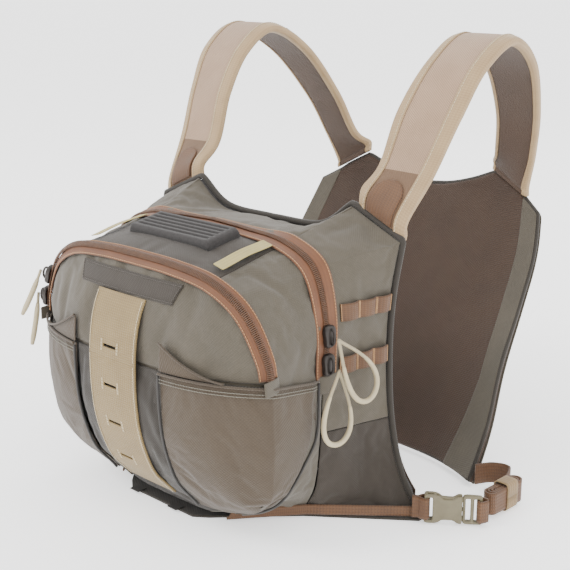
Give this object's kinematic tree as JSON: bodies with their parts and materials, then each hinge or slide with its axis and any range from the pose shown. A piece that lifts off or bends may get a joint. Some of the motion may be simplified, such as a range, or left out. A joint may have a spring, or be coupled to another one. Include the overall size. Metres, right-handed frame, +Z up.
{
  "type": "fishing vest",
  "caption": "Chest-worn fly-fishing pack with zipped front flap, stretch pockets, padded shoulder straps, mesh back yoke and a buckled waist belt.",
  "frame": {"origin": "on the underside of the base panel, on the plane of symmetry", "axes": "+Z up, -Y out of the pack's front, +Y towards the yoke, X across the wearer"},
  "size_m": [0.486, 0.4442, 0.4122],
  "materials": {
    "sage_cloth": "coated plain-weave nylon, matt",
    "taupe_cloth": "plain-weave nylon, matt",
    "stretch_cloth": "four-way stretch cloth, matt",
    "dark_cloth": "coated nylon, matt",
    "spacer_mesh": "three-dimensional spacer mesh",
    "strap_mesh": "open mesh panel between bound edges",
    "foam": "closed-cell foam",
    "zip_tape": "woven zip tape with a nylon coil",
    "sand_webbing": "flat woven webbing",
    "belt_webbing": "ribbed nylon webbing",
    "lime_tag": "pale woven tag",
    "zip_metal": "dark painted die casting",
    "pull_cord": "cord in a smooth sleeve",
    "black_plastic": "moulded acetal",
    "buckle_plastic": "moulded acetal, fine grain"
  },
  "bodies": {
    "pack": {"base_panel": "dark_cloth", "divider_panel": "taupe_cloth", "back_foam_pad": "foam", "back_mesh_face": "spacer_mesh", "front_panel": "taupe_cloth", "deck_panel": "dark_cloth", "rear_top_panel": "sage_cloth", "front_zip_inner": "zip_tape", "main_zip": "zip_tape", "recess_panel": "dark_cloth", "daisy_chain_lower": "sand_webbing", "fly_patch": "foam", "front_side_right": "sage_cloth", "front_side_left": "sage_cloth", "lower_wing_right": "dark_cloth", "lower_wing_left": "dark_cloth", "rear_side_right": "sage_cloth", "rear_side_left": "sage_cloth", "stretch_pocket_right": "stretch_cloth", "stretch_pocket_left": "stretch_cloth", "deck_tag_right": "lime_tag", "deck_tag_left": "lime_tag", "gear_loop_upper_right": "belt_webbing", "gear_loop_upper_left": "belt_webbing", "gear_loop_lower_right": "belt_webbing", "gear_loop_lower_left": "belt_webbing", "strap_front_right": "strap_mesh", "strap_front_left": "strap_mesh", "strap_tab_right": "belt_webbing", "strap_tab_left": "belt_webbing", "buckle_female_right": "buckle_plastic", "buckle_female_left": "buckle_plastic", "belt_anchor_right": "belt_webbing", "belt_anchor_left": "belt_webbing", "belt_bundle_right": "belt_webbing", "belt_bundle_left": "belt_webbing"},
    "flap": {"front_flap": "sage_cloth", "front_zip_outer": "zip_tape", "daisy_chain_upper": "sand_webbing", "front_patch": "dark_cloth"},
    "yoke": {"yoke_pad": "spacer_mesh", "yoke_shell": "sage_cloth", "strap_rear_right": "strap_mesh", "strap_rear_left": "strap_mesh", "strap_adjuster_right": "black_plastic", "strap_adjuster_left": "black_plastic", "belt_link_right": "belt_webbing", "belt_link_left": "belt_webbing"},
    "buckle_right": {"buckle_male_right": "buckle_plastic", "belt_loop_right": "belt_webbing"},
    "buckle_left": {"buckle_male_left": "buckle_plastic", "belt_loop_left": "belt_webbing"},
    "main_slider_upper": {"main_slider_upper": "zip_metal"},
    "main_pull_upper": {"main_pull_upper": "pull_cord"},
    "main_slider_lower": {"main_slider_lower": "zip_metal"},
    "main_pull_lower": {"main_pull_lower": "pull_cord"},
    "front_slider_upper": {"front_slider_upper": "zip_metal"},
    "front_pull_upper": {"front_pull_upper": "pull_cord"},
    "front_slider_lower": {"front_slider_lower": "zip_metal"},
    "front_pull_lower": {"front_pull_lower": "pull_cord"}
  },
  "joints": [
    {"name": "flap_fold", "type": "hinge", "parent": "pack", "child": "flap", "pos_m": [0, -0.1087, 0.152], "axis": [1, 0, 0], "range_deg": [0, 40]},
    {"name": "yoke_swing", "type": "hinge", "parent": "pack", "child": "yoke", "pos_m": [0, 0.1712, 0.3878], "axis": [1, 0, 0], "range_deg": [-6, 6]},
    {"name": "buckle_release_right", "type": "slide", "parent": "pack", "child": "buckle_right", "axis": [0.809, 0.5878, 0], "range_m": [0, 0.03]},
    {"name": "buckle_release_left", "type": "slide", "parent": "pack", "child": "buckle_left", "axis": [-0.809, 0.5878, 0], "range_m": [0, 0.03]},
    {"name": "main_zip_upper_run", "type": "slide", "parent": "pack", "child": "main_slider_upper", "axis": [-0.02, 0, 0.9998], "range_m": [0, 0.012]},
    {"name": "main_pull_upper_swing", "type": "hinge", "parent": "main_slider_upper", "child": "main_pull_upper", "pos_m": [0.14989, 0.0149, 0.17486], "axis": [0, -1, 0], "range_deg": [0, 90]},
    {"name": "main_zip_lower_run", "type": "slide", "parent": "pack", "child": "main_slider_lower", "axis": [0.04, 0, 0.9992], "range_m": [0, 0.003]},
    {"name": "main_pull_lower_swing", "type": "hinge", "parent": "main_slider_lower", "child": "main_pull_lower", "pos_m": [0.14895, 0.01524, 0.14892], "axis": [-0.9962, 0, -0.0872], "range_deg": [0, 60]},
    {"name": "front_zip_upper_run", "type": "slide", "parent": "pack", "child": "front_slider_upper", "axis": [0.4688, -0.0997, 0.8777], "range_m": [0, 0.012]},
    {"name": "front_pull_upper_swing", "type": "hinge", "parent": "front_slider_upper", "child": "front_pull_upper", "pos_m": [-0.14762, -0.07132, 0.19542], "axis": [0, 1, 0], "range_deg": [0, 90]},
    {"name": "front_zip_lower_run", "type": "slide", "parent": "pack", "child": "front_slider_lower", "axis": [0.2394, -0.0798, 0.9676], "range_m": [0, 0.003]},
    {"name": "front_pull_lower_swing", "type": "hinge", "parent": "front_slider_lower", "child": "front_pull_lower", "pos_m": [-0.15869, -0.06789, 0.17055], "axis": [0, 1, 0], "range_deg": [0, 90]}
  ]
}
